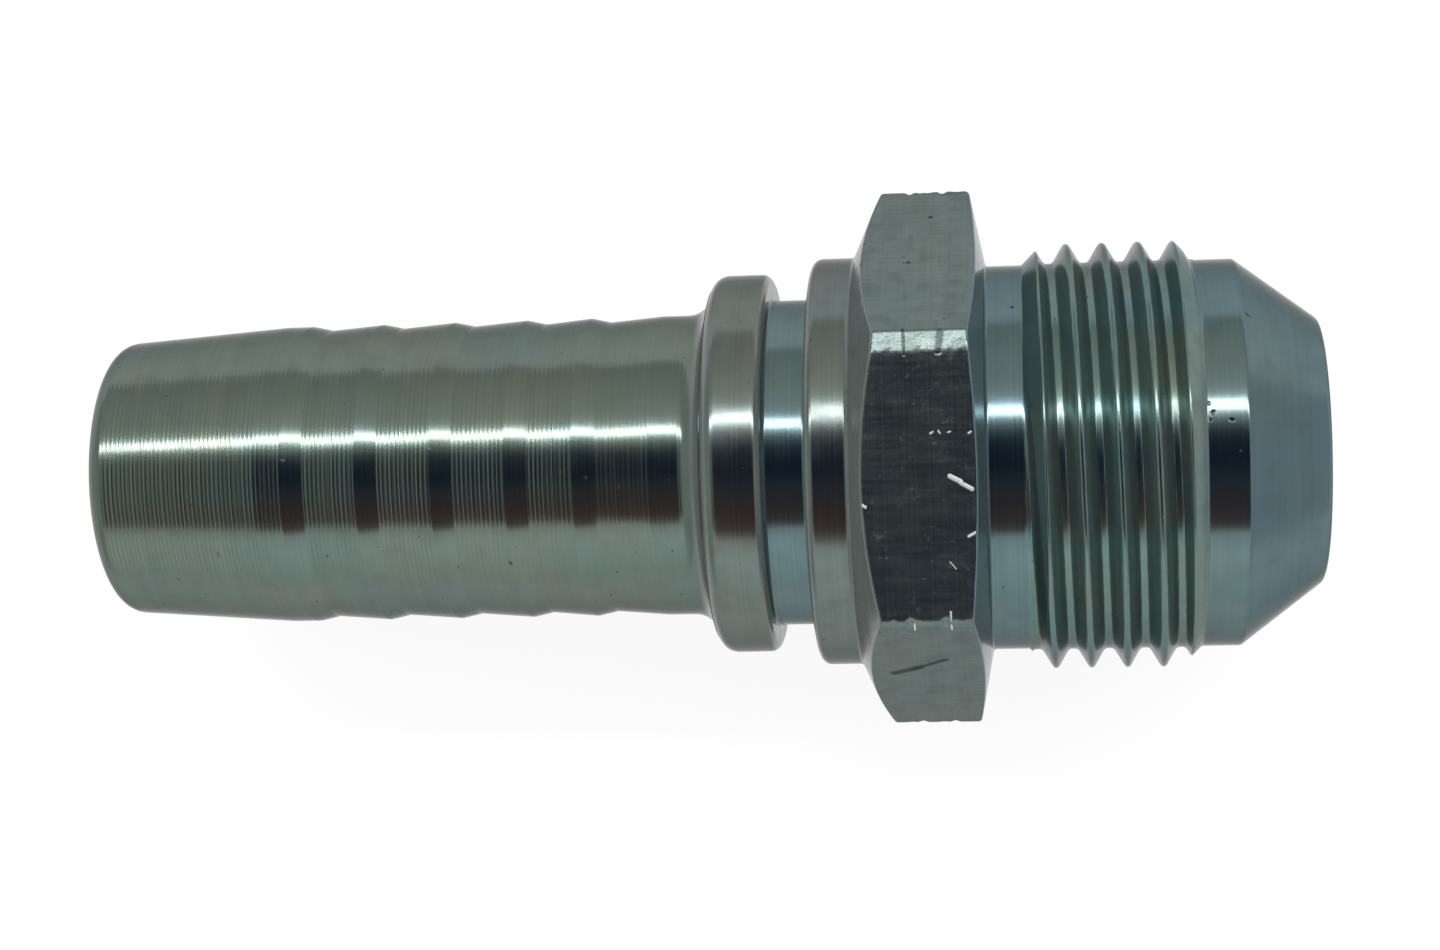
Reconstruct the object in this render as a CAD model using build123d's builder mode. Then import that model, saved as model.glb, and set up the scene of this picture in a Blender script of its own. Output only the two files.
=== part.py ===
"""Hose barb tail: a one-piece steel fitting, turned from hexagon bar.

A barbed tail takes the hose, a collar and groove hold the crimped ferrule, a hexagon takes the
spanner, and a threaded nose with a 37 degree seat takes the swivel nut of the mating line.

Millimetres. The fitting lies along X, with the hose tail towards -X and the nose towards +X.
The origin is on the axis at the hose stop, and the hexagon has flats square to Z.
"""
from build123d import *
from math import cos, radians, sqrt, tan
import os

# ---- driving dimensions -------------------------------------------------------------------

# Through bore
bore_dia = 9.5
bore_lead = 0.35          # 45 degree lead at both mouths

# Hose tail, from the hose stop back to its tip
tail_length = 27.9
tip_dia = 12.5            # where the tip's taper would meet the end face
tip_radius = 0.9
barb_count = 5
barb_dia = 13.65          # over the crests
barb_depth = 0.2          # crest to valley, on the radius
barb_fall = 0.9           # length of the slope that bites the hose
barb_pitch = 3.35
last_pitch = 3.0          # the last barb stands a little closer to the one before
last_valley = 4.8         # from the hose stop
lead_land = 1.2           # plain land on the first barb
root_land = 2.4           # plain land before the hose stop, its fillet included
root_fillet = 1.2

# Collar, ferrule groove and shoulder
collar_dia = 17.15
collar_width = 2.65
collar_edge = 0.4         # broken edge on the hose side
turned_edge = 0.25        # the other broken edges of collar and shoulder
groove_dia = 14.75
groove_width = 1.9
shoulder_dia = 18.4
shoulder_width = 1.9

# Hexagon
hex_flats = 21.0
hex_width = 5.85
hex_edge_radius = 0.45
hex_tail_chamfer = 24.0   # degrees from the plane of the face
hex_nose_chamfer = 11.0

# Thread 3/4-16 UNF: a plain barrel of the crest diameter stands for it
thread_dia = 19.05
thread_pitch = 25.4 / 16
thread_length = 7.6
shank_length = 1.6        # plain stretch between hexagon and thread
land_relief = 0.03        # the plain stretches lie this far under the thread's root

# Nose
nose_land_length = 1.7
seat_angle = 37.0         # half angle of the sealing cone
nose_flat_dia = 11.7
nose_edge = 0.25

# ---- derived sizes ------------------------------------------------------------------------

tail_end = -tail_length
valley_dia = barb_dia - 2 * barb_depth
groove_start = collar_width
groove_end = groove_start + groove_width
hex_start = groove_end + shoulder_width
hex_end = hex_start + hex_width
hex_corner_dia = hex_flats / cos(radians(30))
hex_blank_dia = hex_corner_dia + 0.6

thread_depth = 5 / 8 * sqrt(3) / 2 * thread_pitch
root_dia = thread_dia - 2 * thread_depth
land_dia = root_dia - 2 * land_relief
thread_start = hex_end + shank_length
thread_end = thread_start + thread_length
thread_rise = (thread_dia - land_dia) / 2       # both ends of the thread are turned down at 45 degrees
cone_start = thread_end + nose_land_length
nose_end = cone_start + (land_dia - nose_flat_dia) / 2 / tan(radians(seat_angle))


# ---- turned outline -----------------------------------------------------------------------

def cone_run(small_dia, large_dia, angle):
    """Axial length of a chamfer that rises between two diameters, at an angle to the face."""
    return (large_dia - small_dia) / 2 * tan(radians(angle))


def valley_station(number):
    """Station of a barb's valley; number 0 is the one nearest the tip."""
    steps_back = barb_count - 1 - number
    return -last_valley - (last_pitch + barb_pitch * (steps_back - 1) if steps_back else 0)


tip_corner = (tail_end, tip_dia / 2)
stop_root = (0, barb_dia / 2)
stop_edge = (0, collar_dia / 2)

valleys = [(valley_station(number), valley_dia / 2) for number in range(barb_count)]
crests = [(station - barb_fall, barb_dia / 2) for station, _ in valleys]
barb_points = [point for pair in zip(crests, valleys) for point in pair]
lead_corner = (crests[0][0] - lead_land, barb_dia / 2)
root_corner = (-root_land, barb_dia / 2)

groove_floor = [(groove_start, groove_dia / 2), (groove_end, groove_dia / 2)]
turned_edges = [(groove_start, collar_dia / 2), (groove_end, shoulder_dia / 2)]
hex_feet = [(hex_start, shoulder_dia / 2), (hex_end, land_dia / 2)]
hex_crown = [
    (hex_start + cone_run(shoulder_dia, hex_blank_dia, hex_tail_chamfer), hex_blank_dia / 2),
    (hex_end - cone_run(land_dia, hex_blank_dia, hex_nose_chamfer), hex_blank_dia / 2),
]
thread_barrel = [
    (thread_start, land_dia / 2),
    (thread_start + thread_rise, thread_dia / 2),
    (thread_end - thread_rise, thread_dia / 2),
    (thread_end, land_dia / 2),
]
nose_corner = (nose_end, nose_flat_dia / 2)


def corners(sketch, points):
    """The vertices of a sketch that stand at the given (station, radius) points."""
    return ShapeList(sketch.vertices().sort_by_distance(point)[0] for point in points)


with BuildSketch(Plane.XZ) as turned:
    with BuildLine():
        Polyline(
            (tail_end, 0), tip_corner, lead_corner,
            *barb_points, root_corner,
            stop_root, stop_edge,
            turned_edges[0], *groove_floor, turned_edges[1],
            hex_feet[0], *hex_crown, hex_feet[1],
            *thread_barrel,
            (cone_start, land_dia / 2), nose_corner, (nose_end, 0),
            close=True,
        )
    make_face()
    fillet(corners(turned, [tip_corner]), radius=tip_radius)
    fillet(corners(turned, [stop_root]), radius=root_fillet)
    chamfer(corners(turned, [stop_edge]), length=collar_edge)
    chamfer(corners(turned, turned_edges), length=turned_edge)
    chamfer(corners(turned, [nose_corner]), length=nose_edge)


# ---- the fitting --------------------------------------------------------------------------

with BuildSketch(Plane.YZ.offset(hex_start)) as hexagon:
    RegularPolygon(radius=hex_flats / 2, side_count=6, major_radius=False, rotation=30)
    fillet(hexagon.vertices(), radius=hex_edge_radius)

with BuildPart() as hose_tail:
    add(turned.sketch)
    revolve(axis=Axis.X)

    # Spanner flats: what stands outside the hexagon is milled away.
    with BuildSketch(Plane.YZ.offset(hex_start)):
        Circle(hex_blank_dia / 2 + 1)
        add(hexagon.sketch, mode=Mode.SUBTRACT)
    extrude(amount=hex_width, mode=Mode.SUBTRACT)

    # Bore, drilled right through.
    with BuildSketch(Plane.XZ):
        with BuildLine():
            Polyline(
                (tail_end, 0),
                (tail_end, bore_dia / 2 + bore_lead),
                (tail_end + bore_lead, bore_dia / 2),
                (nose_end - bore_lead, bore_dia / 2),
                (nose_end, bore_dia / 2 + bore_lead),
                (nose_end, 0),
                close=True,
            )
        make_face()
    revolve(axis=Axis.X, mode=Mode.SUBTRACT)

hose_tail.part.label = "hose_tail"

os.makedirs("parts", exist_ok=True)
export_step(hose_tail.part, "parts/hose_tail.step")
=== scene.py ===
# %% [markdown]
# # Dressing a turned steel hose tail
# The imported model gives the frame: one solid, lying along X, with its hexagon square to Z. Here it
# gets what the solid leaves out: the helix of its thread, softened edges, the worn corners of the
# hexagon, and a zinc plate over tool marks.

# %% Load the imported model
import math

import bmesh
import bpy
import numpy as np
from mathutils import Matrix, Vector


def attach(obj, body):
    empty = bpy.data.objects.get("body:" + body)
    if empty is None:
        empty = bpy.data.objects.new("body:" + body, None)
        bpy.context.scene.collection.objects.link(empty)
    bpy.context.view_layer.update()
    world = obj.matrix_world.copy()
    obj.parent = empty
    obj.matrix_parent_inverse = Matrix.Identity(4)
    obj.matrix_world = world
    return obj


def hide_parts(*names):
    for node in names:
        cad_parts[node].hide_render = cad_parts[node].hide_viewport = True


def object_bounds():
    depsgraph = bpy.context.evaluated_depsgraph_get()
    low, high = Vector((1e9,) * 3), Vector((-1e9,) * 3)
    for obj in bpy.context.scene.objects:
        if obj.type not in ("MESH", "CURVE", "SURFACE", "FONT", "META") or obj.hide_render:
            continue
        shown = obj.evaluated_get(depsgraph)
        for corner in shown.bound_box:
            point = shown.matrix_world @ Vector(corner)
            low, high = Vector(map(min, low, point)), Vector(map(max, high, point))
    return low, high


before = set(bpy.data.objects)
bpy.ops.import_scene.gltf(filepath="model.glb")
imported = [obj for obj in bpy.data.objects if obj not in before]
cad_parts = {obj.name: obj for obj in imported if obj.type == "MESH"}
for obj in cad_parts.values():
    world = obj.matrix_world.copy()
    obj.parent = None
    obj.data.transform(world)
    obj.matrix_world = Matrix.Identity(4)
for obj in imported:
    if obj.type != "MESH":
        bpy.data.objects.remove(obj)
cad_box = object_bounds()


def in_mm(box):
    """The two corners of a box as text, in millimetres."""
    return " to ".join(" ".join(f"{v * 1000:.2f}" for v in corner) for corner in box)


print("solid runs from", in_mm(cad_box))

# %% [markdown]
# ## Sizes
# The sizes are those of the turned blank, in millimetres. A lathe hand reads them as stations along
# the axis and distances out from it, so the outline below is written as stations and radii. Meshes
# are in metres, and every point is multiplied by `mm` once, when its mesh is made.

# %% Sizes of the blank, in millimetres
mm = 0.001
tail_tip, hose_stop, collar_end, groove_end = -27.9, 0.0, 2.65, 4.55
hex_start, hex_end = 6.45, 12.3
thread_start, thread_end = 13.9, 21.5
nose_shoulder, nose_end = 23.2, cad_box[1].x / mm

tip_radius, barb_radius, valley_radius = 6.25, 6.825, 6.625
collar_radius, groove_radius, shoulder_radius = 8.575, 7.375, 9.2
hex_apothem, bore_radius, nose_flat_radius = 10.5, 4.75, 5.85
bore_lead = 0.35
print(f"{nose_end - tail_tip:.2f} mm long, {2 * hex_apothem:.1f} mm across flats")

# %% Sizes of the thread
pitch = 25.4 / 16
crest_radius = 19.05 / 2
thread_depth = 5 / 8 * math.sqrt(3) / 2 * pitch
land_relief = 0.03                               # the plain stretches lie this far under the root
root_share = 0.75                                # of a pitch, from the start to a root on the +Y side
root_radius = crest_radius - thread_depth
land_radius = root_radius - land_relief
root_station = thread_start + root_share * pitch
print(f"thread: {thread_depth:.3f} mm deep, {(thread_end - thread_start) / pitch:.1f} turns")

# %% [markdown]
# ## Edges that a hand can feel
# No edge on a turned part is a knife edge: the tool's nose leaves a small radius in every corner, and
# tumbling and plating soften the outer ones. An edge that is rounded catches a thin line of light, so
# this is worth doing in the mesh. `rounded` follows a list of corners and swaps each for an arc.

# %% A helper that rounds corners
arc_steps = 6


def unit(vector):
    return vector / np.linalg.norm(vector)


def rounded(corners):
    """Points along corners given as (station, radius, rounding), with an arc at each rounded one."""
    line = [np.array(corners[0][:2])]
    for before, (x, r, rounding), after in zip(corners, corners[1:], corners[2:]):
        here = np.array((x, r))
        if not rounding:
            line.append(here)
            continue
        back, on = unit(np.array(before[:2]) - here), unit(np.array(after[:2]) - here)
        half = math.acos(max(-1, min(1, float(back @ on)))) / 2
        centre = here + unit(back + on) * rounding / math.sin(half)
        first = here + back * rounding / math.tan(half) - centre
        last = here + on * rounding / math.tan(half) - centre
        sweep = math.pi - 2 * half
        for step in range(arc_steps + 1):
            share = step / arc_steps
            weights = math.sin((1 - share) * sweep), math.sin(share * sweep)
            line.append(centre + (first * weights[0] + last * weights[1]) / math.sin(sweep))
    return line + [np.array(corners[-1][:2])]


print(len(rounded([(0, 0, 0), (1, 0, 0.2), (1, 1, 0)])), "points round one softened corner")

# %% [markdown]
# ## Columns round the axis
# The whole skin is one lattice: columns run round the axis, rows follow the outline. The six corners
# of the hexagon are tight, so the columns crowd there. A sine added to the angle does that smoothly,
# and the thread further on uses the same rule, so that both skins meet point for point.

# %% Angles of the columns
columns, hex_sides = 252, 6
crowding = 0.7
even_turn = np.arange(columns) * 2 * math.pi / columns
column_angle = even_turn - crowding / hex_sides * np.sin(hex_sides * even_turn)
spacing = np.degrees(np.diff(column_angle))
print(f"{columns} columns, {spacing.min():.2f} to {spacing.max():.2f} degrees apart")

# %% [markdown]
# ## The hexagon, seen from the end
# Hexagon bar comes with slightly rounded corners. From the axis, a flat stands at
# `apothem / cos(angle)`, and close to a corner the ray meets the corner's circle instead.

# %% Reach of the hexagon in every direction
side_turn, half_side = math.pi / 3, math.pi / 6             # what a side of the hexagon spans, and its half
hex_corner_rounding = 0.5
corner_centre = (hex_apothem - hex_corner_rounding) / math.cos(half_side)
off_corner = (column_angle + half_side) % side_turn - half_side
arc_reach = math.atan2(
    hex_corner_rounding * math.sin(half_side), corner_centre + hex_corner_rounding * math.cos(half_side)
)
on_flat = hex_apothem / np.cos(half_side - np.abs(off_corner))
on_arc = corner_centre * np.cos(off_corner) + np.sqrt(
    np.maximum(hex_corner_rounding**2 - (corner_centre * np.sin(off_corner)) ** 2, 0)
)
hex_reach = np.where(np.abs(off_corner) < arc_reach, on_arc, on_flat)

# One corner, 60 degrees round from +Y, is worn to a narrow facet that leans towards the upper flat.
facet_turn, facet_width = math.radians(72), 0.95
facet_to_side_flat, inside_corner = math.radians(42), math.radians(120)
near_facet = 0.9                                 # cosine of the turn beyond which the facet isn't met
corner_y = hex_apothem * math.tan(math.radians(30))
facet_start = facet_width * math.sin(facet_to_side_flat) / math.sin(inside_corner)
facet_offset = (corner_y - facet_start) * math.cos(facet_turn) + hex_apothem * math.sin(facet_turn)
to_facet = np.cos(column_angle - facet_turn)
facet_reach = facet_offset / np.maximum(to_facet, near_facet)
hex_reach = np.where(to_facet > near_facet, np.minimum(hex_reach, facet_reach), hex_reach)
print(f"hexagon reaches {hex_reach.min():.2f} to {hex_reach.max():.2f} mm from the axis")

# %% [markdown]
# ## The barbs
# Each barb rises slowly from the tip's side and falls off quickly towards the hexagon, so the hose
# slides on and bites on the way back. The outline is listed from the hexagon back to the tip.

# %% Corners of the barbed tail, from the hose stop to the tip
valley_stations = [-4.8, -7.8, -11.15, -14.5, -17.85]
barb_fall, lead_land, root_land = 0.9, 1.2, 2.4
barb_rounding, tip_rounding = 0.3, 0.9

tail_corners = [(-root_land, barb_radius, barb_rounding)]
for station in valley_stations:
    tail_corners.append((station, valley_radius, barb_rounding))
    tail_corners.append((station - barb_fall, barb_radius, barb_rounding))
tail_corners.append((valley_stations[-1] - barb_fall - lead_land, barb_radius, barb_rounding))
tail_corners.append((tail_tip, tip_radius, tip_rounding))
print(len(valley_stations), "barbs, and", len(tail_corners), "corners")

# %% [markdown]
# ## One outline for every column
# All columns share the turned outline, except over the hexagon: there the chamfer cones climb until
# they meet the flat, and that station depends on the angle. Working it out per column puts the
# scalloped edge exactly on a row of the mesh, with no jagged steps.

# %% The outline of a column
tail_side_slope, nose_side_slope = math.tan(math.radians(24)), math.tan(math.radians(11))
seam_gap = 0.12                                   # plain strip each side of the thread
shank_ring, nose_ring = thread_start - seam_gap, thread_end + seam_gap
flat_rows = 52

foot_fillet, groove_fillet, root_fillet = 0.15, 0.2, 1.2           # inner corners
nose_edge_rounding, tail_edge_rounding, hex_foot_rounding = 0.16, 0.18, 0.3
shoulder_rounding, collar_rounding, stop_rounding = 0.45, 0.42, 0.75
lead_rounding, nose_rounding, cone_rounding = 0.1, 0.45, 0.3


def outline(reach):
    """The fitting's outline for a column where the hexagon reaches so far from the axis."""
    nose_edge = hex_end - (reach - land_radius) * nose_side_slope
    tail_edge = hex_start + (reach - shoulder_radius) * tail_side_slope
    flat = [
        (nose_edge + (tail_edge - nose_edge) * step / flat_rows, reach, 0) for step in range(2, flat_rows - 1)
    ]
    return rounded([
        (shank_ring, land_radius, 0), (hex_end, land_radius, foot_fillet),
        (nose_edge, reach, nose_edge_rounding),
        *flat,
        (tail_edge, reach, tail_edge_rounding), (hex_start, shoulder_radius, hex_foot_rounding),
        (groove_end, shoulder_radius, shoulder_rounding), (groove_end, groove_radius, groove_fillet),
        (collar_end, groove_radius, groove_fillet), (collar_end, collar_radius, collar_rounding),
        (hose_stop, collar_radius, stop_rounding), (hose_stop, barb_radius, root_fillet),
        *tail_corners,
        (tail_tip, bore_radius + bore_lead, lead_rounding),
        (tail_tip + bore_lead, bore_radius, lead_rounding),
        (nose_end - bore_lead, bore_radius, lead_rounding),
        (nose_end, bore_radius + bore_lead, lead_rounding),
        (nose_end, nose_flat_radius, nose_rounding), (nose_shoulder, land_radius, cone_rounding),
        (nose_ring, land_radius, 0),
    ])


skin = np.array([outline(reach) for reach in hex_reach])      # column, row, (station, radius)
print(f"{skin.shape[1]} rows by {skin.shape[0]} columns")

# %% [markdown]
# ## Wear on the hexagon
# Hexagon corners hit everything else in the bin. Small dents along them break up their line of light.
# Each dent is a soft bump pressed inwards. Most are placed from a fixed seed. Two at fixed stations cut
# every sharp corner, and a few nibble the edge of the worn one.

# %% Dents along the hexagon's corners
dice = np.random.default_rng(7)
station, radius = skin[..., 0], skin[..., 1]
angle = np.broadcast_to(column_angle[:, None], station.shape)
worn_corner, dents_per_corner, nibble_count = 1, 8, 7
sharp_corners = [k * math.pi / 3 for k in range(hex_sides) if k != worn_corner]
gap_stations, gap_depth, gap_size = (8.99, 10.45), 0.12, 0.14
facet_edge = math.radians(63.4)
dent_width = 1.6                                 # how much wider than long a dent is
tail_margin, nose_margin = 0.3, 0.05             # the ends of the hexagon stay whole


def dent(turn, wander, stations, depths, sizes):
    """A random dent near a turn: its turn, station, depth and size."""
    return turn + dice.normal(0, wander), dice.uniform(*stations), dice.uniform(*depths), dice.uniform(*sizes)


dents = [dent(turn, 0.012, (hex_start + 0.9, hex_end - 0.2), (0.02, 0.06), (0.08, 0.22))
         for turn in sharp_corners for _ in range(dents_per_corner)]
corner_gaps = [(turn, x, gap_depth, gap_size) for turn in sharp_corners for x in gap_stations]
nibbles = [dent(facet_edge, 0.004, (hex_start + 1.2, hex_end - 0.6), (0.02, 0.05), (0.09, 0.16))
           for _ in range(nibble_count)]
pressed = np.zeros_like(radius)
for turn, x, depth, size in dents + corner_gaps + nibbles:
    around = (angle - turn + math.pi) % (2 * math.pi) - math.pi
    spread = ((around * radius) / (size * dent_width)) ** 2 + ((station - x) / size) ** 2
    pressed = np.maximum(pressed, depth * np.exp(-spread))
on_hexagon = (station > hex_start + tail_margin) & (station < hex_end - nose_margin)
pressed *= on_hexagon & (radius > shoulder_radius)
skin[..., 1] -= pressed
print(f"{len(dents) + len(corner_gaps) + len(nibbles)} dents, the deepest {pressed.max():.2f} mm")

# %% [markdown]
# ## Sums that read as sums
# Node trees are easier to read as expressions. `Wire` wraps one socket and turns `a + b` into a Math
# node. Everything else comes from `Wire.node`, which takes the node's type, its settings and its
# sockets. The same class serves the thread's geometry and the finishes.

# %% A socket that does arithmetic
class Wire:
    """A socket in a node tree; arithmetic on it adds Math nodes."""

    def __init__(self, tree, socket=None):
        self.tree, self.socket = tree, socket

    def node(self, kind, settings=None, sockets=None, out=0):
        made = self.tree.nodes.new(kind)
        for name, value in (settings or {}).items():
            if name == "stops":
                while len(made.color_ramp.elements) < len(value):
                    made.color_ramp.elements.new(1)
                for element, (place, colour) in zip(made.color_ramp.elements, value):
                    element.position, element.color = place, (*colour, 1)
            else:
                setattr(made, name, value)
        for name, value in (sockets or {}).items():
            if isinstance(value, Wire):
                self.tree.links.new(value.socket, made.inputs[name])
            else:
                made.inputs[name].default_value = value
        return Wire(self.tree, made.outputs[out])

    def math(self, operation, *terms):
        return self.node("ShaderNodeMath", {"operation": operation}, dict(enumerate(terms)))

    def __add__(self, other): return self.math("ADD", self, other)
    def __radd__(self, other): return self.math("ADD", other, self)
    def __sub__(self, other): return self.math("SUBTRACT", self, other)
    def __rsub__(self, other): return self.math("SUBTRACT", other, self)
    def __mul__(self, other): return self.math("MULTIPLY", self, other)
    def __rmul__(self, other): return self.math("MULTIPLY", other, self)
    def __truediv__(self, other): return self.math("DIVIDE", self, other)


print("Wire is ready")

# %% [markdown]
# ## The thread
# A thread is a rule, not a shape: the height depends only on how far a point is from the nearest root,
# and the root moves one pitch along the axis per turn. That is a job for Geometry Nodes. A flat grid
# is wrapped round the axis, with its rows slanted so that they follow the helix. At both ends the
# rows are held back to a plain ring, which is where the lathe's skin takes over.

# %% The thread's tree: inputs
thread_tree = bpy.data.node_groups.new("cut_thread", "GeometryNodeTree")
thread_tree.interface.new_socket("Geometry", in_out="OUTPUT", socket_type="NodeSocketGeometry")
thread_inputs = {
    "Pitch": pitch, "Root station": root_station, "Root radius": root_radius, "Depth": thread_depth,
    "Land radius": land_radius, "Thread start": thread_start, "Thread end": thread_end,
    "First ring": shank_ring, "Last ring": nose_ring, "Crowding": crowding,
}
for name in thread_inputs:
    thread_tree.interface.new_socket(name, in_out="INPUT", socket_type="NodeSocketFloat")
thread_tree.interface.new_socket("Finish", in_out="INPUT", socket_type="NodeSocketMaterial")
bench = Wire(thread_tree)
given = thread_tree.nodes.new("NodeGroupInput")
size = {socket.name: Wire(thread_tree, socket) for socket in given.outputs if socket.name}
print(len(size), "inputs on the thread's tree")

# %% The thread's tree: rows that follow the helix
rows_per_turn = 24
thread_rows = int(math.ceil((nose_ring - shank_ring) / pitch + 1)) * rows_per_turn
flat_grid = bench.node(
    "GeometryNodeMeshGrid", None,
    {"Size X": 1.0, "Size Y": 1.0, "Vertices X": thread_rows + 1, "Vertices Y": columns + 1},
)
place = bench.node("GeometryNodeInputPosition")
row = bench.node("ShaderNodeSeparateXYZ", None, {0: place}, out=0) + 0.5
turn = bench.node("ShaderNodeSeparateXYZ", None, {0: place}, out=1) + 0.5
even = turn * (2 * math.pi)
around = even - size["Crowding"] / hex_sides * bench.math("SINE", even * hex_sides)
turns = around / (2 * math.pi)
free_station = size["First ring"] + size["Pitch"] * (row * (thread_rows / rows_per_turn) + turns - 1)
x = bench.math("MINIMUM", bench.math("MAXIMUM", free_station, size["First ring"]), size["Last ring"])
print(thread_rows, "rows on the thread")

# %% The thread's tree: height above the root
half_root, flank_run = 1 / 8, 5 / 16             # of a pitch: half the flat root, and one flank
root_softness, crest_softness = 0.34, 0.24       # of the thread's depth
run_out_softness = 0.05                          # where the thread's ends meet the plain land
from_root = bench.math("PINGPONG", (x - size["Root station"]) / size["Pitch"] - turns, 0.5)
flank = (from_root - half_root) / flank_run
soft_root = bench.math("SMOOTH_MAX", flank, 0.0, root_softness)
soft_crest = bench.math("SMOOTH_MIN", soft_root, 1.0, crest_softness)
full_radius = size["Root radius"] + size["Depth"] * soft_crest
first_cone = size["Land radius"] + x - size["Thread start"]
last_cone = size["Land radius"] + size["Thread end"] - x
cut = bench.math("MINIMUM", full_radius, bench.math("MINIMUM", first_cone, last_cone))
thread_radius = bench.math("SMOOTH_MAX", cut, size["Land radius"], run_out_softness)
ring_end = bench.math("MINIMUM", x - size["First ring"], size["Last ring"] - x)
plain = bench.math("LESS_THAN", ring_end, seam_gap / 2)
thread_radius = plain * size["Land radius"] + (1 - plain) * thread_radius
print("the crest stands", round(thread_depth, 3), "mm over the root")

# %% The thread's tree: wrap, close and finish
wrapped = bench.node("ShaderNodeCombineXYZ", None, {
    0: x * mm,
    1: thread_radius * bench.math("COSINE", around) * mm,
    2: thread_radius * bench.math("SINE", around) * mm,
})
skin_of_thread = bench.node("GeometryNodeSetPosition", None, {"Geometry": flat_grid, "Position": wrapped})
seam_merge = 0.002 * mm
closed = bench.node("GeometryNodeMergeByDistance", None, {"Geometry": skin_of_thread, "Distance": seam_merge})
real = bench.node("GeometryNodeRealizeInstances", None, {"Geometry": closed})
finished = bench.node("GeometryNodeSetMaterial", None, {"Geometry": real, "Material": size["Finish"]})
end = thread_tree.nodes.new("NodeGroupOutput")
thread_tree.links.new(finished.socket, end.inputs["Geometry"])
print(len(thread_tree.nodes), "nodes in the thread's tree")

# %% [markdown]
# ## Zinc plate
# The fitting is bright zinc over a machined surface: a metal that takes nearly all its look from what
# it reflects. Three things make it read as plated steel and not as chrome. The tool leaves fine
# grooves at its feed, each a little different. The plate itself is faintly blue, going
# straw-coloured where the passivate is thicker. And handling leaves dull patches and specks.
# One function mixes all of them, and every zone of the fitting asks for its own amounts. It reads two
# attributes that the mesh gets further on: `tool_marks` says where the grooves show, and
# `faces_sideways` says where the skin faces along the axis, and is given less of a metal's shine.

# %% Places on the fitting, for the finishes
def places(bench):
    """Object coordinates in millimetres: the point, and its station along the axis."""
    point = bench.node("ShaderNodeTexCoord", out=3)
    scaled = bench.node("ShaderNodeVectorMath", {"operation": "SCALE"}, {0: point, "Scale": 1 / mm})
    return scaled, bench.node("ShaderNodeSeparateXYZ", None, {0: scaled}, out=0)


def cloud(bench, point, scale, detail=3.0, stretch=(1, 1, 1)):
    """Soft noise from 0 to 1, with so many features per millimetre."""
    drawn = bench.node("ShaderNodeMapping", {"vector_type": "POINT"}, {"Vector": point, "Scale": stretch})
    return bench.node("ShaderNodeTexNoise", None, {"Vector": drawn, "Scale": scale, "Detail": detail})


def rings(bench, station, scale):
    """Noise that varies along the axis only, as tool marks do."""
    return bench.node(
        "ShaderNodeTexNoise", {"noise_dimensions": "1D"}, {"W": station, "Scale": scale, "Detail": 2.0}
    )


def between(bench, value, low, high):
    """The value's rise from low to high as 0 to 1, softened at both ends."""
    return bench.node(
        "ShaderNodeMapRange", {"interpolation_type": "SMOOTHSTEP"},
        {"Value": value, "From Min": low, "From Max": high},
    )


def tinted(bench, share, first, second):
    """A colour between two, or one laid over another where either is a wire."""
    first, second = (tone if isinstance(tone, Wire) else (*tone, 1) for tone in (first, second))
    return bench.node("ShaderNodeMix", {"data_type": "RGBA"}, {0: share, 6: first, 7: second}, out=2)


print("helpers for the finishes are ready")

# %% [markdown]
# ## Scratches and nicks, with some painted highlights and shade
# Every scratch, nick and spot is a short straight stroke between two points, so many millimetres wide.
# Bright ones have cut through to the steel, save three ticks at the hexagon's lower corner, which are
# painted highlights. Dark ones hold dirt, save two across the notches of the upper corner, which are
# painted shade.

# %% One stroke
stroke_core = 0.3                                # the share of its width where a stroke is at full strength


def stroke(bench, point, start, finish, width):
    """1 on a short straight scratch between two points, 0 away from it."""
    start, run = Vector(start), Vector(finish) - Vector(start)
    offset = bench.node("ShaderNodeVectorMath", {"operation": "SUBTRACT"}, {0: point, 1: start})
    per_run = run / run.length_squared
    along = bench.node("ShaderNodeVectorMath", {"operation": "DOT_PRODUCT"}, {0: offset, 1: per_run}, out=1)
    held = bench.math("MAXIMUM", bench.math("MINIMUM", along, 1.0), 0.0)
    nearest = bench.node("ShaderNodeVectorMath", {"operation": "SCALE"}, {0: run, "Scale": held})
    away = bench.node("ShaderNodeVectorMath", {"operation": "DISTANCE"}, {0: offset, 1: nearest}, out=1)
    return between(bench, away, width, width * stroke_core)


print("a stroke is full strength over", f"{stroke_core:.0%} of its width")

# %% Where the strokes are: start, end and width of each
flat_z = hex_apothem
nicks_and_painted_glints = [
    ((10.78, 0.12, flat_z), (11.22, -0.12, flat_z), 0.135),
    ((11.25, -0.18, flat_z), (11.70, -0.44, flat_z), 0.110),
    ((10.02, 1.92, flat_z), (10.12, 1.98, flat_z), 0.055),
    ((10.35, 2.02, flat_z), (10.42, 1.92, flat_z), 0.045),
    ((10.75, 1.95, flat_z), (10.85, 1.98, flat_z), 0.045),
    ((11.6, 1.9, flat_z), (11.7, 1.95, flat_z), 0.055),
    ((7.00, -0.95, flat_z), (7.25, -1.10, flat_z), 0.075),
    ((11.50, -2.40, flat_z), (11.85, -2.22, flat_z), 0.070),
    ((10.70, -3.45, flat_z), (10.95, -3.75, flat_z), 0.030),
    # These three ticks at the lower corner are painted highlights: bright strokes in place of light caught on
    # the corner.
    ((9.15, -corner_y + 0.1, flat_z), (9.15, -corner_y - 0.3, flat_z - 0.52), 0.055),
    ((10.68, -corner_y + 0.5, flat_z), (10.68, -corner_y, flat_z), 0.060),
    ((10.68, -corner_y, flat_z), (10.70, -corner_y - 0.3, flat_z - 0.52), 0.055),
]
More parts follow.
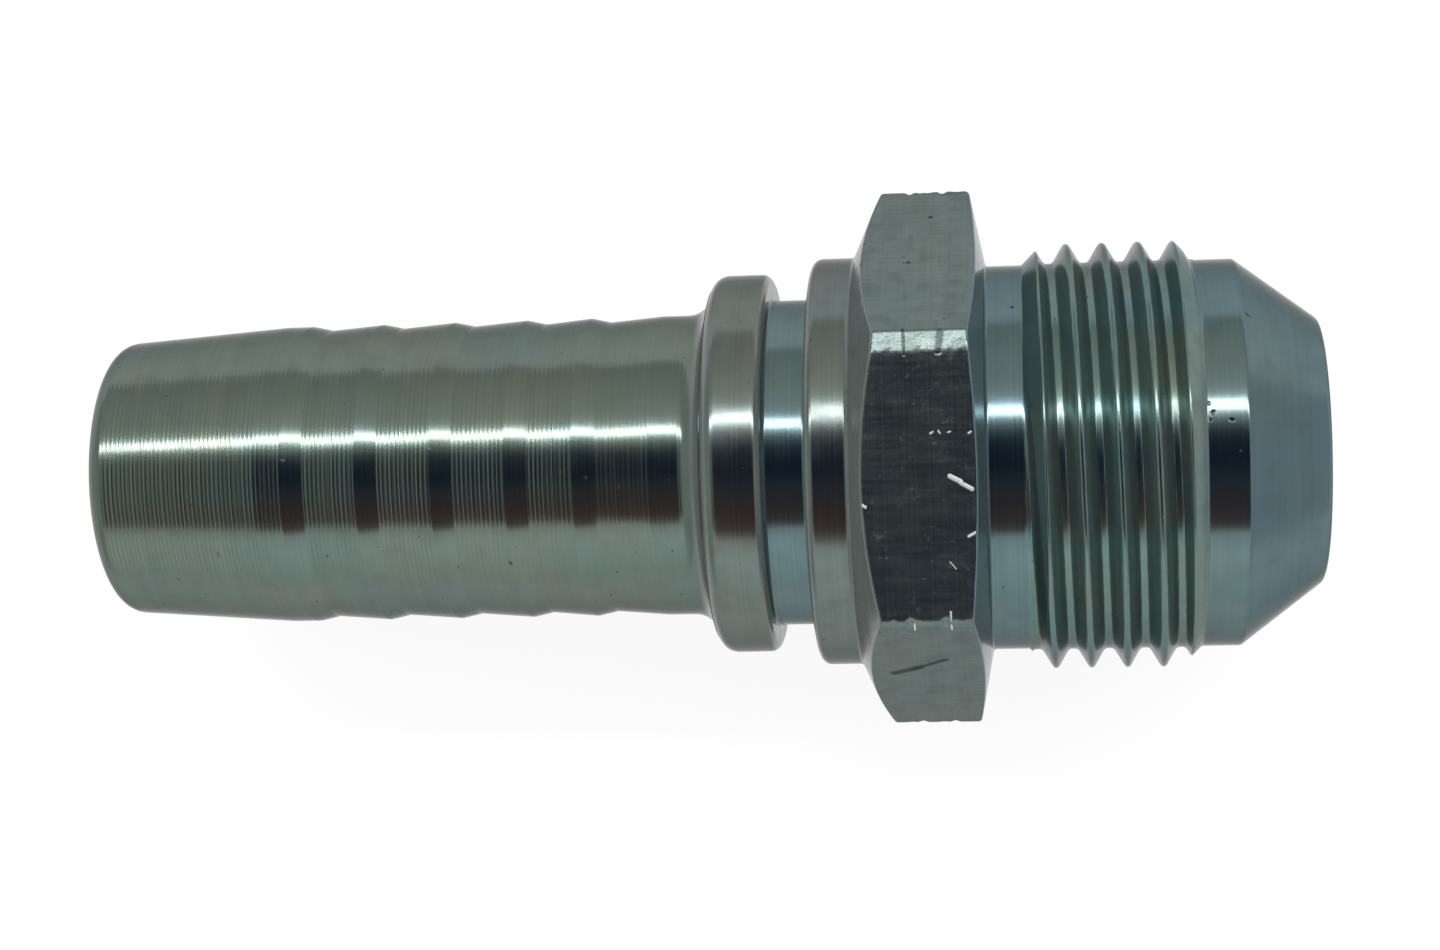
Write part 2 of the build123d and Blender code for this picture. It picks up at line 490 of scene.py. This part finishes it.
scores_and_painted_notch_shade = [
    ((8.05, -8.85, 5.67), (9.1, -8.55, 6.2), 0.34), ((8.9, -8.6, 6.1), (10.3, -8.1, 6.96), 0.22),
    ((9.95, 10.9, 2.1), (10.0, 10.9, 2.1), 0.14), ((9.05, 8.97, 5.46), (9.12, 8.97, 5.46), 0.12),
    # These two, across the upper corner where it is notched, are painted shade: dark strokes in place of the
    # gaps in the corner's line of light.
    ((9.02, corner_y - 0.85, flat_z), (8.97, corner_y + 0.25, flat_z - 0.33), 0.09),
    ((10.42, corner_y - 0.75, flat_z), (10.50, corner_y + 0.05, flat_z - 0.26), 0.22),
]
dark_spots = [
    ((13.46, 6.91, 5.19), (13.50, 6.91, 5.19), 0.11), ((23.42, 6.35, 5.70), (23.58, 6.25, 5.68), 0.13),
    ((21.56, 2.74, 8.17), (21.58, 2.70, 8.18), 0.10), ((21.75, 2.36, 8.29), (21.72, 2.30, 8.31), 0.12),
    ((22.45, 2.02, 8.38), (22.55, 2.00, 8.38), 0.10), ((21.62, 2.05, 8.38), (21.62, 2.00, 8.39), 0.08),
]
tail_spots = [
    ((-8.80, -3.64, 5.74), (-8.76, -3.70, 5.70), 0.10), ((-0.79, -3.07, 6.29), (-0.75, -3.12, 6.27), 0.12),
    ((-0.95, -3.40, 6.10), (-0.92, -3.44, 6.08), 0.09),
]
print(len(nicks_and_painted_glints), "bright nicks and", len(scores_and_painted_notch_shade), "dark scores")

# %% [markdown]
# ## Mixing the finish
# `feed` and `groove` are the pitch and depth of the tool marks in millimetres. `dull` says how much
# handling shows, `sheltered` how much shine the sideways skin loses, and `drawn` is the depth in
# millimetres of the marks that drawing leaves along the flats of the bar.

# %% The finish itself
# The nick tone is also the colour of painted highlights, and the score tone also that of painted shade.
speck_tone, score_and_shade_tone, nick_and_glint_tone = (0.05, 0.06, 0.06), (0.03, 0.04, 0.04), (0.85, 0.86, 0.82)
drawn_tone, wiped_tone = (0.21, 0.25, 0.26), (0.06, 0.08, 0.085)
passivate_tint = (0.5, 0.5, 0.5, 1)              # the passivate stays dark at a grazing look
stroke_relief, swell_share = 0.02, 14.0          # millimetres; and times the depth that drawing leaves


def zinc_plate(name, blue, straw, feed, groove, roughness, dull=0.5, sheltered=0.45, drawn=0.0,
               nicks_and_glints=(), scores_and_shade=()):
    """Zinc plate over machined steel."""
    finish = bpy.data.materials.new(name)
    finish.use_nodes = True
    tree = finish.node_tree
    shader = tree.nodes["Principled BSDF"]
    bench = Wire(tree)
    point, station = places(bench)

    film = between(bench, cloud(bench, point, scale=0.22, detail=2.0), low=0.30, high=0.70)
    handled = between(bench, cloud(bench, point, scale=0.9, detail=4.0), low=0.42, high=0.72)
    bands = rings(bench, station, scale=1.3)
    marks = between(bench, rings(bench, station, scale=9.0), low=0.32, high=0.68)
    specks = between(bench, cloud(bench, point, scale=2.3, detail=1.0), low=0.755, high=0.79)
    cut = bench.node("ShaderNodeAttribute", {"attribute_name": "tool_marks"}, out=2)
    sideways = bench.node("ShaderNodeAttribute", {"attribute_name": "faces_sideways"}, out=2)

    colour = tinted(bench, film * 0.6, blue, straw)
    dimming = 0.91 + 0.14 * bands + 0.06 * marks - 0.14 * handled * dull
    colour = bench.node("ShaderNodeVectorMath", {"operation": "SCALE"}, {0: colour, "Scale": dimming})
    colour = tinted(bench, specks * 0.55, colour, speck_tone)

    wander = 0.5 * cloud(bench, point, scale=0.12, detail=1.0)
    turned = bench.math("SINE", (station / feed + wander) * (2 * math.pi)) * (0.25 + 1.1 * marks)
    height = cut * (turned * (groove / 2) + (marks - 0.5) * (groove * 0.5))
    dullness = roughness + 0.06 * handled * dull + 0.02 * (marks - 0.5) + 0.2 * specks
    if drawn:
        lines = cloud(bench, point, scale=5.0, detail=4.0, stretch=(0.10, 1, 1))
        wiped = cloud(bench, point, scale=4.0, detail=3.0, stretch=(1, 0.12, 0.12))
        swell = cloud(bench, point, scale=0.9, detail=4.0)
        pits = between(bench, cloud(bench, point, scale=3.2, detail=3.0), low=0.60, high=0.78)
        height = height + drawn * (lines - 0.5) + drawn * 0.8 * (wiped - 0.5) - drawn * pits
        height = height + drawn * swell_share * (swell - 0.5)
        dullness = dullness + 0.10 * pits + 0.12 * (lines - 0.5)
        colour = tinted(bench, between(bench, lines, low=0.35, high=0.65) * 0.22, colour, drawn_tone)
        colour = tinted(bench, between(bench, wiped, low=0.55, high=0.75) * 0.20, colour, wiped_tone)
    # Bright strokes are nicks, and three of them are painted highlights on the hexagon's lower corner.
    for start, finish_at, width in nicks_and_glints:
        mask = stroke(bench, point, start, finish_at, width)
        height = height + stroke_relief * mask
        colour = tinted(bench, mask * 0.85, colour, nick_and_glint_tone)
        dullness = dullness + 0.35 * mask
    # Dark strokes are scores and spots, and two of them are painted shade over the upper corner's notches.
    for start, finish_at, width in scores_and_shade:
        mask = stroke(bench, point, start, finish_at, width)
        height = height - stroke_relief * mask
        colour = tinted(bench, mask * 0.8, colour, score_and_shade_tone)

    bump = bench.node("ShaderNodeBump", None, {"Height": height, "Distance": mm, "Strength": 1.0})
    tree.links.new(colour.socket, shader.inputs["Base Color"])
    tree.links.new(dullness.socket, shader.inputs["Roughness"])
    tree.links.new(bump.socket, shader.inputs["Normal"])
    polished = 1.0 - sheltered * sideways
    tree.links.new(polished.socket, shader.inputs["Metallic"])
    shader.inputs["Specular Tint"].default_value = passivate_tint
    print(name, "has", len(tree.nodes), "nodes")
    return finish


# %% Finishes for the five zones
finishes = {
    "tail": zinc_plate(
        "zinc_on_the_tail", blue=(0.130, 0.170, 0.158), straw=(0.155, 0.177, 0.140),
        feed=0.2, groove=0.0048, roughness=0.16, scores_and_shade=tail_spots,
    ),
    "collars": zinc_plate(
        "zinc_on_the_collars", blue=(0.135, 0.165, 0.160), straw=(0.160, 0.170, 0.148),
        feed=0.11, groove=0.002, roughness=0.18, dull=0.7, sheltered=0.65,
    ),
    "turned": zinc_plate(
        "zinc_on_groove_and_nose", blue=(0.112, 0.172, 0.188), straw=(0.135, 0.175, 0.165),
        feed=0.11, groove=0.002, roughness=0.15, dull=0.6, scores_and_shade=dark_spots,
    ),
    "thread": zinc_plate(
        "zinc_on_the_thread", blue=(0.112, 0.190, 0.190), straw=(0.175, 0.200, 0.165),
        feed=0.05, groove=0.001, roughness=0.19, dull=0.8, sheltered=0.2,
    ),
    "flats": zinc_plate(
        "zinc_on_the_hexagon", blue=(0.130, 0.172, 0.168), straw=(0.158, 0.182, 0.155),
        feed=0.9, groove=0.0004, roughness=0.28, dull=1.0, drawn=0.005,
        nicks_and_glints=nicks_and_painted_glints, scores_and_shade=scores_and_painted_notch_shade,
    ),
}
print(", ".join(finishes))

# %% [markdown]
# ## Joining the skins
# The lathe's skin is open between two plain rings, and the thread closes it. After both are plain
# meshes, merging their doubles leaves one closed surface, as the real part is one piece.

# %% The turned skin as a mesh
rows = skin.shape[1]
x, r = skin[..., 0], skin[..., 1]
across, up = r * np.cos(column_angle)[:, None], r * np.sin(column_angle)[:, None]
turned_points = np.stack([x, across, up], -1).reshape(-1, 3) * mm
column, step = np.meshgrid(np.arange(columns), np.arange(rows - 1), indexing="ij")
beside = (column + 1) % columns
here, there = column * rows + step, beside * rows + step
faces = np.stack([here, here + 1, there + 1, there], -1)
turned_mesh = bpy.data.meshes.new("turned_skin")
turned_mesh.from_pydata(turned_points.tolist(), [], faces.reshape(-1, 4).tolist())
print(len(turned_mesh.polygons), "faces on the turned skin")

# %% The thread's tree made into a mesh
blank = bpy.data.objects.new("thread_blank", bpy.data.meshes.new("thread_blank"))
bpy.context.scene.collection.objects.link(blank)
cutter = blank.modifiers.new("cut_thread", "NODES")
cutter.node_group = thread_tree
for item in thread_tree.interface.items_tree:
    if item.name == "Finish":
        cutter[item.identifier] = finishes["thread"]
    elif item.in_out == "INPUT":
        cutter[item.identifier] = float(thread_inputs[item.name])
bpy.context.view_layer.update()
thread_mesh = bpy.data.meshes.new_from_object(blank.evaluated_get(bpy.context.evaluated_depsgraph_get()))
bpy.data.objects.remove(blank)
print(len(thread_mesh.polygons), "faces on the thread")

# %% One closed skin
doubles_within, slivers_within = 0.004 * mm, 0.0005 * mm
whole = bmesh.new()
whole.from_mesh(turned_mesh)
whole.from_mesh(thread_mesh)
bmesh.ops.remove_doubles(whole, verts=whole.verts, dist=doubles_within)
bmesh.ops.dissolve_degenerate(whole, edges=whole.edges, dist=slivers_within)
bmesh.ops.recalc_face_normals(whole, faces=whole.faces)
open_edges = [edge for edge in whole.edges if len(edge.link_faces) != 2]
print(len(whole.faces), "faces,", len(open_edges), "open edges,", f"{whole.calc_volume() * 1e9:.0f} mm3")

# %% Zones of finish
flat_tilt, flat_margin = 0.3, 0.3                # a flat faces this little along X, and lies this far out
bore_margin, fillet_reach, crown_reach = 1, 0.6, 2
zones = list(finishes)
for face in whole.faces:
    centre, across = face.calc_center_median() / mm, abs(face.normal.x)
    out = math.hypot(centre.y, centre.z)
    if hex_start < centre.x < hex_end and across < flat_tilt and out > hex_apothem - flat_margin:
        zone = "flats"
    elif thread_start < centre.x < thread_end and out > bore_radius + bore_margin:
        zone = "thread"
    elif centre.x < hose_stop - fillet_reach:
        zone = "tail"
    elif centre.x < hex_start + crown_reach and not collar_end < centre.x < groove_end:
        zone = "collars"
    else:
        zone = "turned"
    face.material_index = zones.index(zone)
    face.smooth = True
fitting_mesh = bpy.data.meshes.new("fitting")
whole.to_mesh(fitting_mesh)
whole.free()
for zone in zones:
    fitting_mesh.materials.append(finishes[zone])
print({zone: sum(p.material_index == i for p in fitting_mesh.polygons) for i, zone in enumerate(zones)})

# %% [markdown]
# ## Where the tool marks show
# The marks are plain on the long lands, about half as deep next to the hose stop, and nearly absent
# from the short falls of the barbs and from the sealing cone, which has to be smooth to seal.

# %% Where the tool's feed shows
on_falls, by_the_stop, on_the_cone = 0.12, 0.45, 0.1       # 1 is the whole depth of the grooves
fall_margin, faint_start = 0.02, -4.9
stations = np.array([vertex.co.x for vertex in fitting_mesh.vertices]) / mm
feed_shows = np.ones(len(stations))
for station in valley_stations:
    on_fall = (stations > station - barb_fall - fall_margin) & (stations < station + fall_margin)
    feed_shows[on_fall] = on_falls
feed_shows[(stations > faint_start) & (stations < hose_stop)] = by_the_stop
feed_shows[stations > nose_shoulder] = on_the_cone
tool_marks = fitting_mesh.attributes.new("tool_marks", "FLOAT", "POINT")
tool_marks.data.foreach_set("value", feed_shows)
print(f"tool marks show on {(feed_shows > 0.9).mean():.0%} of the points")

# %% [markdown]
# ## Normals weighted by area
# Where a small arc meets a long cone, the shared points should shade like the cone, or the highlight
# swells near every edge. Weighting each point's normal by the area of its faces does that.

# %% Area-weighted normals
corner_normals = np.zeros((len(fitting_mesh.vertices), 3))
for polygon in fitting_mesh.polygons:
    corner_normals[list(polygon.vertices)] += np.array(polygon.normal) * polygon.area
corner_normals /= np.linalg.norm(corner_normals, axis=1, keepdims=True)
fitting_mesh.normals_split_custom_set_from_vertices(corner_normals.tolist())

# %% [markdown]
# ## Skin that faces along the axis
# Faces of collars and hexagon that look along the axis are duller than the turned barrel, and the
# finish takes some of the metal's shine from them. The sealing cone is as bright as the barrel.

# %% Where the skin faces sideways
tilt_start, tilt_range = 0.45, 0.3               # how far the normal leans along the axis
along = np.abs(corner_normals[:, 0])
rise = np.clip((along - tilt_start) / tilt_range, 0, 1)
rise[stations > nose_shoulder] = 0
faces_sideways = fitting_mesh.attributes.new("faces_sideways", "FLOAT", "POINT")
faces_sideways.data.foreach_set("value", rise * rise * (3 - 2 * rise))
print(f"{(rise > 0.5).mean():.0%} of the points face along the axis")

# %% The fitting as an object
fitting = bpy.data.objects.new("fitting", fitting_mesh)
bpy.context.scene.collection.objects.link(fitting)
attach(fitting, "root")
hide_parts("hose_tail")
fitting_mesh.calc_loop_triangles()
print("fitting has", len(fitting_mesh.loop_triangles), "triangles")

# %% [markdown]
# ## The camera
# The camera looks almost straight down on the fitting from a hand's breadth away, through a slightly
# long lens. It is easiest to say how the fitting stands in the picture: its nose leans a little
# towards the viewer and up, and it is turned a few degrees about its own axis.

# %% The camera
nose_lean, nose_lift, turned_by = math.radians(6.592), math.radians(1.34), math.radians(5.0)
stop_in_view = Vector((0, 0.491, -123.54)) * mm          # right, up and towards the viewer

in_picture = math.cos(nose_lean)                         # the share of the axis that isn't foreshortened
axis_seen = Vector((in_picture * math.cos(nose_lift), in_picture * math.sin(nose_lift), math.sin(nose_lean)))
up_seen = (Vector((0, 1, 0)) - axis_seen * axis_seen.y).normalized()
towards_seen = axis_seen.cross(up_seen)
y_seen = up_seen * math.cos(turned_by) + towards_seen * math.sin(turned_by)
z_seen = towards_seen * math.cos(turned_by) - up_seen * math.sin(turned_by)
to_view = Matrix((axis_seen, y_seen, z_seen)).transposed()    # from the fitting's axes to the view's

camera = bpy.data.objects.new("camera", bpy.data.cameras.new("camera"))
bpy.context.scene.collection.objects.link(camera)
camera.data.sensor_width, camera.data.lens = 36, 67.5
camera.data.clip_start, camera.data.clip_end = 0.005, 20
from_view = to_view.transposed()
camera.matrix_world = Matrix.Translation(-(from_view @ stop_in_view)) @ from_view.to_4x4()
bpy.context.scene.camera = camera
view_right, view_up, view_back = (from_view @ Vector(v) for v in ((1, 0, 0), (0, 1, 0), (0, 0, 1)))
print("camera stands", f"{camera.location.length / mm:.1f} mm from the hose stop")

# %% [markdown]
# ## Floor, lamp and reflection cards
# Polished metal shows the room, so the room is part of the finish. A white floor lies under the
# hexagon's lower flat. A long narrow lamp gives the thin line of light along the whole fitting. A
# dome carries the calmer tones that a studio makes with grey and black cards: dark round the camera,
# with a warm lower edge, and light further out. The dome is only for reflections: the camera doesn't
# see it, it lights nothing dull and it casts no shadow. The floor is grey to light, so that it takes
# the shadow, and glows towards the camera and in reflections, so that it reads as white.

# %% The floor
reach, under = 1.6, -hex_apothem * mm            # metres
floor_grey, floor_roughness, floor_glow = 0.19, 0.9, 0.82
floor_mesh = bpy.data.meshes.new("floor")
floor_corners = [
    (-reach, -reach, under), (reach, -reach, under), (reach, reach, under), (-reach, reach, under),
]
floor_mesh.from_pydata(floor_corners, [], [(0, 1, 2, 3)])
floor = bpy.data.objects.new("floor", floor_mesh)
bpy.context.scene.collection.objects.link(floor)
paper = bpy.data.materials.new("white_paper")
paper.use_nodes = True
sheet = paper.node_tree.nodes["Principled BSDF"]
sheet.inputs["Base Color"].default_value = (floor_grey, floor_grey, floor_grey, 1)
sheet.inputs["Roughness"].default_value = floor_roughness
sheet.inputs["Specular IOR Level"].default_value = 0.0
sheet.inputs["Emission Color"].default_value = (1, 1, 1, 1)
bench = Wire(paper.node_tree)
camera_ray, glossy_ray, clear_ray = (bench.node("ShaderNodeLightPath", out=out) for out in (0, 3, 6))
seen = bench.math("MAXIMUM", camera_ray, bench.math("MAXIMUM", glossy_ray, clear_ray)) * floor_glow
paper.node_tree.links.new(seen.socket, sheet.inputs["Emission Strength"])
floor_mesh.materials.append(paper)
print("floor lies", hex_apothem, "mm under the axis")

# %% The long lamp
def lamp(name, degrees_up, distance, length, width, radiance):
    """A rectangular lamp along the fitting, so many degrees up from the camera's line; sizes in metres."""
    lift = math.radians(degrees_up)
    out = view_back * math.cos(lift) + view_up * math.sin(lift)
    across = out.cross(view_right)
    lamp_data = bpy.data.lights.new(name, "AREA")
    lamp_data.shape, lamp_data.size, lamp_data.size_y = "RECTANGLE", length, width
    lamp_data.energy = radiance * math.pi * length * width
    made = bpy.data.objects.new(name, lamp_data)
    facing = Matrix((view_right, across, out)).transposed().to_4x4()
    made.matrix_world = Matrix.Translation(out * distance) @ facing
    bpy.context.scene.collection.objects.link(made)
    return made


strip = lamp("strip_lamp", degrees_up=27, distance=0.35, length=0.70, width=0.030, radiance=14.0)
print("strip lamp gives", f"{strip.data.energy:.2f} W")

# %% The tones of the cards
# Each tone stands at so many degrees up from the camera's line. From below they are white, the dark
# card with its warm lower edge, the white card, and grey at the top. Both ends fade to a plain tone.
card_tones = [
    (-90, (1.00, 1.06, 1.00)), (-60, (1.25, 1.30, 1.28)), (-46.5, (1.05, 1.05, 1.0)),
    (-44.5, (0.26, 0.15, 0.14)), (-38, (0.20, 0.115, 0.11)), (-28, (0.15, 0.095, 0.10)),
    (-17, (0.10, 0.10, 0.13)), (-6, (0.03, 0.045, 0.09)), (9, (0.03, 0.05, 0.09)),
    (14, (0.10, 0.13, 0.17)), (20, (0.40, 0.42, 0.42)), (34, (1.00, 1.00, 0.94)),
    (54, (0.88, 0.86, 0.78)), (68, (0.76, 0.76, 0.70)), (90, (0.60, 0.62, 0.60)),
]
tail_fade, tail_tone = (-24.0, -46.0), (0.70, 0.74, 0.68)
nose_fade, nose_tone = (30.0, 45.0), (0.76, 0.77, 0.82)
dome_radius = 0.6                                # metres
print(len(card_tones), "tones on the cards")

# %% The reflection dome
bpy.ops.mesh.primitive_uv_sphere_add(segments=48, ring_count=24, radius=dome_radius)
dome = bpy.context.object
dome.name = "card_dome"
dome.matrix_world = Matrix((view_right, view_up, view_back)).transposed().to_4x4()
dome.visible_camera = dome.visible_diffuse = dome.visible_shadow = dome.visible_transmission = False
card = bpy.data.materials.new("cards")
card.use_nodes = True
card.node_tree.nodes.clear()
bench = Wire(card.node_tree)
spot = bench.node("ShaderNodeTexCoord", out=3)
side, high, near = (bench.node("ShaderNodeSeparateXYZ", None, {0: spot}, out=axis) for axis in range(3))
lift = bench.math("ARCTAN2", high, near) * (180 / math.pi)
across = bench.math("ARCSINE", side / dome_radius) * (180 / math.pi)
stops = [((degrees + 90) / 180, tone) for degrees, tone in card_tones]
tones = bench.node("ShaderNodeValToRGB", {"stops": stops}, {"Fac": (lift + 90) / 180})
tones = tinted(bench, between(bench, across, *tail_fade), tones, tail_tone)
tones = tinted(bench, between(bench, across, *nose_fade), tones, nose_tone)
glow = bench.node("ShaderNodeEmission", None, {"Color": tones, "Strength": 1.0})
last = card.node_tree.nodes.new("ShaderNodeOutputMaterial")
card.node_tree.links.new(glow.socket, last.inputs["Surface"])
dome.data.materials.append(card)
print("dome has", len(card.node_tree.nodes), "nodes")

# %% The room, and how colours are shown
world = bpy.data.worlds.new("room")
bpy.context.scene.world = world
world.use_nodes = True
world.node_tree.nodes["Background"].inputs["Color"].default_value = (1, 1, 1, 1)
world.node_tree.nodes["Background"].inputs["Strength"].default_value = 1.0
bpy.context.scene.view_settings.view_transform = "Standard"
print("room is white, strength 1")
